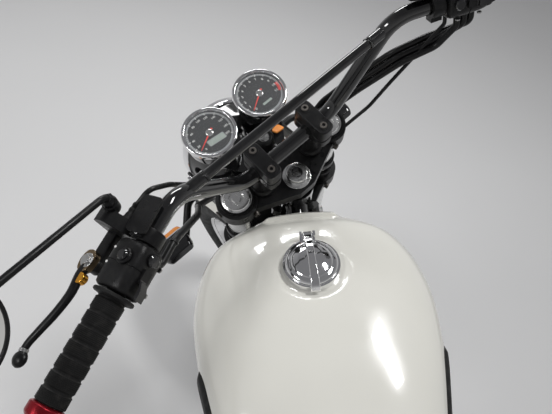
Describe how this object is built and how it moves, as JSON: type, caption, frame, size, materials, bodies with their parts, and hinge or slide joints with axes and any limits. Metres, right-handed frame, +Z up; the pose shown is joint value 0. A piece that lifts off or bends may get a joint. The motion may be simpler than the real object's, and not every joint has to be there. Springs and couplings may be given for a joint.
{
  "type": "cafe racer motorcycle",
  "caption": "Classic roadster leaning on its side stand, front turned to the steering stop, braced high bar, twin dials, wire wheels, open finned twin engine.",
  "frame": {"origin": "on the ground under the middle of the whole parked machine's box", "axes": "+X ahead along the machine, +Y to the rider's left, +Z up; the machine leans to +Y on its side stand"},
  "size_m": [2.0241, 0.844, 1.4661],
  "materials": {
    "bare_alloy": "machined",
    "black_alloy": "satin",
    "black_paint": "gloss",
    "black_plastic": "matt",
    "chrome": "polished",
    "cream_paint": "gloss",
    "gloss_plastic": "gloss",
    "lamp_lens": "gloss",
    "rubber": "matt",
    "seat_cover": "satin",
    "steel": "brushed",
    "tyre": "matt"
  },
  "bodies": {
    "chassis": {"frame": "black_paint", "crankcase": "bare_alloy", "cylinders": "black_alloy", "throttle_bodies": "black_plastic", "exhaust_left": "chrome", "exhaust_right": "chrome", "fuel_tank": "cream_paint", "filler_collar": "chrome", "seat": "seat_cover", "seat_pan": "black_plastic", "side_covers": "cream_paint", "swingarm": "black_paint", "shock_left": "steel", "shock_right": "steel", "rear_axle": "steel", "rear_caliper": "black_alloy", "left_foot_controls": "steel", "right_foot_controls": "steel", "chain": "steel", "rear_mudguard": "cream_paint", "tail_lamp": "gloss_plastic"},
    "steering": {"fork_yokes": "black_alloy", "fork_left": "bare_alloy", "fork_right": "bare_alloy", "handlebar": "black_paint", "handlebar_risers": "black_alloy", "left_grip": "rubber", "right_grip": "rubber", "left_switch": "black_plastic", "right_switch": "black_plastic", "left_perch": "black_alloy", "right_perch": "black_alloy", "clutch_lever": "black_alloy", "brake_lever": "black_alloy", "left_mirror": "black_plastic", "right_mirror": "black_plastic", "speedometer": "chrome", "tachometer": "chrome", "gauge_bracket": "black_paint", "headlamp": "gloss_plastic", "front_indicators": "lamp_lens", "front_mudguard": "cream_paint", "front_axle": "steel", "front_caliper": "black_alloy"},
    "front_wheel": {"front_tyre": "tyre", "front_wheel": "chrome", "front_disc": "steel"},
    "rear_wheel": {"rear_tyre": "tyre", "rear_wheel": "chrome", "rear_disc": "steel", "rear_sprocket": "steel"},
    "side_stand": {"side_stand": "black_paint"},
    "cap_lid": {"cap_lid": "chrome"}
  },
  "joints": [
    {"name": "steering", "type": "hinge", "parent": "chassis", "child": "steering", "pos_m": [0.41551, -0.01623, 0.93633], "axis": [-0.4079, 0.2131, 0.8878], "range_deg": [-74, 0]},
    {"name": "front_wheel_spin", "type": "hinge", "parent": "steering", "child": "front_wheel", "pos_m": [0.7362, -0.15042, 0.29487], "axis": [-0.5495, 0.7193, -0.4252], "continuous": true},
    {"name": "rear_wheel_spin", "type": "hinge", "parent": "chassis", "child": "rear_wheel", "pos_m": [-0.65587, -0.16589, 0.31295], "axis": [0, 0.9724, -0.2334], "continuous": true},
    {"name": "side_stand", "type": "hinge", "parent": "chassis", "child": "side_stand", "pos_m": [0.06201, -0.07429, 0.13329], "axis": [0.1147, 0.723, 0.6813], "range_deg": [0, 99.23]},
    {"name": "cap_lid", "type": "hinge", "parent": "chassis", "child": "cap_lid", "pos_m": [0.30164, -0.01995, 0.9208], "axis": [0, 0.9724, -0.2334], "range_deg": [0, 100]}
  ]
}
